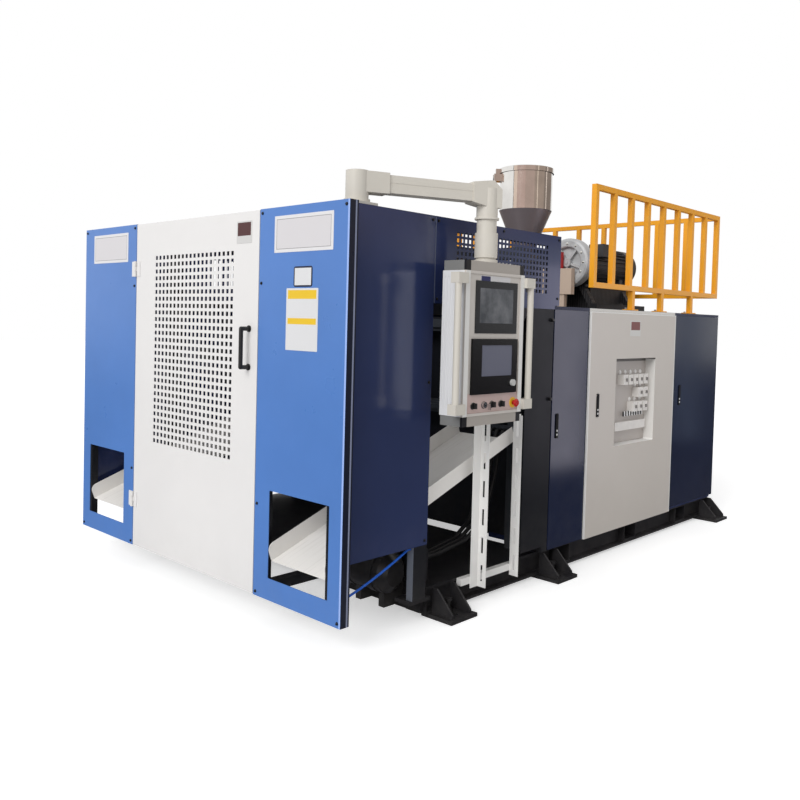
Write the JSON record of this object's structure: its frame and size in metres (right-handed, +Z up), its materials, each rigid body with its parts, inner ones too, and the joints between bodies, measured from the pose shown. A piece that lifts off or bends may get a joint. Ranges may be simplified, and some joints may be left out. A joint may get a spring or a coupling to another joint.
{
  "type": "blow moulding machine",
  "caption": "Floor-standing extrusion blow moulding machine with a guarded moulding bay, side chutes, deck-mounted extruder, cabinet and a swing-arm control pendant.",
  "frame": {"origin": "on the floor, at the middle of the rectangle of the four corner anchor holes", "axes": "+X to the control side, +Y from the front guard to the rear, +Z up"},
  "size_m": [2.8206, 4.318, 2.867],
  "materials": {
    "navy_paint": "satin",
    "blue_paint": "satin",
    "white_paint": "satin",
    "cream_paint": "satin",
    "dark_paint": "satin",
    "grey_paint": "satin",
    "machined_steel": "machined",
    "chrome_rod": "polished",
    "stainless": "polished",
    "yellow_paint": "satin",
    "zinc_plate": "matte",
    "motor_grey": "matte",
    "cast_grey": "matte",
    "beige_plastic": "matte",
    "black_paint": "satin",
    "hose_rubber": "matte",
    "blue_tube": "gloss",
    "black_plastic": "matte",
    "arm_paint": "satin",
    "dark_screen": "gloss",
    "red_plastic": "gloss",
    "breaker_plastic": "matte"
  },
  "bodies": {
    "machine": {"base_frame": "dark_paint", "levelling_feet": "dark_paint", "guard_frame": "dark_paint", "front_panel_left": "blue_paint", "front_panel_right": "blue_paint", "left_side_cover": "navy_paint", "side_panel_right": "navy_paint", "upper_panel_right": "navy_paint", "chute_left": "cream_paint", "chute_right": "cream_paint", "door_hinges": "white_paint", "slotted_stand": "white_paint", "clamp_frame": "grey_paint", "die_head": "machined_steel", "extruder_barrel": "machined_steel", "feed_throat": "machined_steel", "hopper": "stainless", "gear_motor": "grey_paint", "platform_deck": "dark_paint", "railing": "yellow_paint", "cabinet_shell": "navy_paint", "mounting_plate": "zinc_plate", "hydraulic_unit": "grey_paint", "blower_motor": "motor_grey", "blower_housing": "cast_grey", "starter_box": "beige_plastic", "air_receiver": "black_paint", "hydraulic_hoses": "hose_rubber", "air_tube": "blue_tube"},
    "front_door": {"front_door": "white_paint", "door_handle": "black_plastic"},
    "arm": {"arm_castings": "arm_paint", "arm_beam": "arm_paint"},
    "pendant": {"pendant_neck": "arm_paint", "pendant_box": "arm_paint", "pendant_handles": "arm_paint", "monitor": "dark_screen", "touch_panel": "black_plastic"},
    "cabinet_door_main": {"cabinet_door_main": "cream_paint", "breaker_panel": "breaker_plastic"},
    "selector_left": {"selector_left": "black_plastic"},
    "key_switch": {"key_switch": "chrome_rod"},
    "selector_mid": {"selector_mid": "black_plastic"},
    "selector_right": {"selector_right": "black_plastic"},
    "emergency_stop": {"emergency_stop": "red_plastic"},
    "cabinet_door_front": {"cabinet_door_front": "navy_paint"},
    "cabinet_door_rear": {"cabinet_door_rear": "navy_paint"},
    "lock_front": {"lock_front": "black_plastic"},
    "lock_main": {"lock_main": "black_plastic"},
    "lock_rear": {"lock_rear": "black_plastic"},
    "carriage_left": {"carriage_left": "grey_paint"},
    "carriage_right": {"carriage_right": "grey_paint"},
    "platen_front_left": {"platen_front_left": "machined_steel"},
    "platen_rear_left": {"platen_rear_left": "machined_steel"},
    "platen_front_right": {"platen_front_right": "machined_steel"},
    "platen_rear_right": {"platen_rear_right": "machined_steel"},
    "blow_pin_left": {"blow_pin_left": "chrome_rod"},
    "blow_pin_right": {"blow_pin_right": "chrome_rod"},
    "extruder_screw": {"extruder_screw": "machined_steel"},
    "hopper_lid": {"hopper_lid": "stainless"}
  },
  "joints": [
    {"name": "front_door_hinge", "type": "hinge", "parent": "machine", "child": "front_door", "pos_m": [-0.611, -2.499, 0.435], "axis": [0, 0, -1], "range_deg": [0, 110]},
    {"name": "arm_swing", "type": "hinge", "parent": "machine", "child": "arm", "pos_m": [1.1, -2.29, 2.12], "axis": [0, 0, -1], "range_deg": [0, 110]},
    {"name": "pendant_swivel", "type": "hinge", "parent": "arm", "child": "pendant", "pos_m": [1.37362, -1.62943, 2.088], "axis": [0, 0, 1], "range_deg": [-20, 20]},
    {"name": "selector_left_turn", "type": "hinge", "parent": "pendant", "child": "selector_left", "pos_m": [1.44262, -1.79143, 1.147], "axis": [1, 0, 0], "range_deg": [-45, 45]},
    {"name": "key_turn", "type": "hinge", "parent": "pendant", "child": "key_switch", "pos_m": [1.44262, -1.70243, 1.147], "axis": [1, 0, 0], "range_deg": [0, 90]},
    {"name": "selector_mid_turn", "type": "hinge", "parent": "pendant", "child": "selector_mid", "pos_m": [1.44262, -1.63743, 1.147], "axis": [1, 0, 0], "range_deg": [-45, 45]},
    {"name": "selector_right_turn", "type": "hinge", "parent": "pendant", "child": "selector_right", "pos_m": [1.44262, -1.56143, 1.147], "axis": [1, 0, 0], "range_deg": [-45, 45]},
    {"name": "emergency_stop_push", "type": "slide", "parent": "pendant", "child": "emergency_stop", "axis": [-1, 0, 0], "range_m": [0, 0.005]},
    {"name": "cabinet_front_hinge", "type": "hinge", "parent": "machine", "child": "cabinet_door_front", "pos_m": [1.195, -0.306, 0.37], "axis": [0, 0, 1], "range_deg": [0, 90]},
    {"name": "cabinet_main_hinge", "type": "hinge", "parent": "machine", "child": "cabinet_door_main", "pos_m": [1.205, 0.928, 0.37], "axis": [0, 0, 1], "range_deg": [0, 90]},
    {"name": "cabinet_rear_hinge", "type": "hinge", "parent": "machine", "child": "cabinet_door_rear", "pos_m": [1.195, 1.73, 0.37], "axis": [0, 0, 1], "range_deg": [0, 90]},
    {"name": "lock_front_lift", "type": "hinge", "parent": "cabinet_door_front", "child": "lock_front", "pos_m": [1.203, -0.647, 1], "axis": [0, -1, 0], "range_deg": [0, 40]},
    {"name": "lock_main_lift", "type": "hinge", "parent": "cabinet_door_main", "child": "lock_main", "pos_m": [1.213, -0.179, 1.102], "axis": [0, -1, 0], "range_deg": [0, 40]},
    {"name": "lock_rear_lift", "type": "hinge", "parent": "cabinet_door_rear", "child": "lock_rear", "pos_m": [1.203, 1.057, 1.112], "axis": [0, -1, 0], "range_deg": [0, 40]},
    {"name": "shuttle_left", "type": "slide", "parent": "machine", "child": "carriage_left", "axis": [1, 0, 0], "range_m": [0, 0.64]},
    {"name": "shuttle_right", "type": "slide", "parent": "machine", "child": "carriage_right", "axis": [1, 0, 0], "range_m": [0, 0.64]},
    {"name": "clamp_left", "type": "slide", "parent": "carriage_left", "child": "platen_front_left", "axis": [0, -1, 0], "range_m": [0, 0.12]},
    {"name": "clamp_left_rear", "type": "slide", "parent": "carriage_left", "child": "platen_rear_left", "axis": [0, 1, 0], "range_m": [0, 0.12]},
    {"name": "clamp_right", "type": "slide", "parent": "carriage_right", "child": "platen_front_right", "axis": [0, -1, 0], "range_m": [0, 0.12]},
    {"name": "clamp_right_rear", "type": "slide", "parent": "carriage_right", "child": "platen_rear_right", "axis": [0, 1, 0], "range_m": [0, 0.12]},
    {"name": "blow_left", "type": "slide", "parent": "machine", "child": "blow_pin_left", "axis": [0, 0, -1], "range_m": [0, 0.19]},
    {"name": "blow_right", "type": "slide", "parent": "machine", "child": "blow_pin_right", "axis": [0, 0, -1], "range_m": [0, 0.19]},
    {"name": "screw_turn", "type": "hinge", "parent": "machine", "child": "extruder_screw", "pos_m": [0, 0, 1.99], "axis": [0, 1, 0], "continuous": true},
    {"name": "hopper_lid_hinge", "type": "hinge", "parent": "machine", "child": "hopper_lid", "pos_m": [-0.18102, 0.47898, 2.775], "axis": [0.7071, -0.7071, 0], "range_deg": [0, 100]}
  ],
  "couplings": [
    {"joint": "shuttle_right", "follows": "shuttle_left", "ratio": 1},
    {"joint": "clamp_left_rear", "follows": "clamp_left", "ratio": 1},
    {"joint": "clamp_right_rear", "follows": "clamp_right", "ratio": 1}
  ]
}
